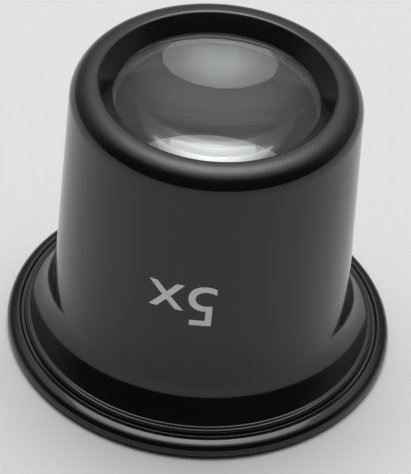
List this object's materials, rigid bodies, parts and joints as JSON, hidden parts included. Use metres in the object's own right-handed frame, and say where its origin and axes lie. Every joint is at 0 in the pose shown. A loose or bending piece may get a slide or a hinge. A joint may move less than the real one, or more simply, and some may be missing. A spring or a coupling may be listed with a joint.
{
  "type": "watchmaker eye loupe",
  "caption": "Eye loupe held in the eye socket: tapered cup with a rolled nose and a beaded flange, a biconvex lens, and a screwed ring that holds the lens.",
  "frame": {"origin": "centre of the flange's rest face, on the optical axis", "axes": "+Z along the optical axis towards the nose; X and Y lie in the rest face"},
  "size_m": [0.042, 0.042, 0.0341],
  "materials": {
    "black_plastic": "moulded gloss black",
    "lens_glass": "polished, ground edge",
    "ring_plastic": "matt black, against stray light"
  },
  "bodies": {
    "eyecup": {"eyecup_body": "black_plastic"},
    "lens": {"lens": "lens_glass"},
    "retaining_ring": {"retaining_ring": "ring_plastic"}
  },
  "joints": [
    {"name": "lens_slide", "type": "slide", "parent": "eyecup", "child": "lens", "axis": [0, 0, -1], "range_m": [0, 0.003]},
    {"name": "ring_turn", "type": "hinge", "parent": "lens", "child": "retaining_ring", "pos_m": [0, 0, 0.02825], "axis": [0, 0, -1], "range_deg": [0, 1080]}
  ],
  "couplings": [
    {"joint": "ring_turn", "follows": "lens_slide", "rad_per_m": 6283.2}
  ]
}
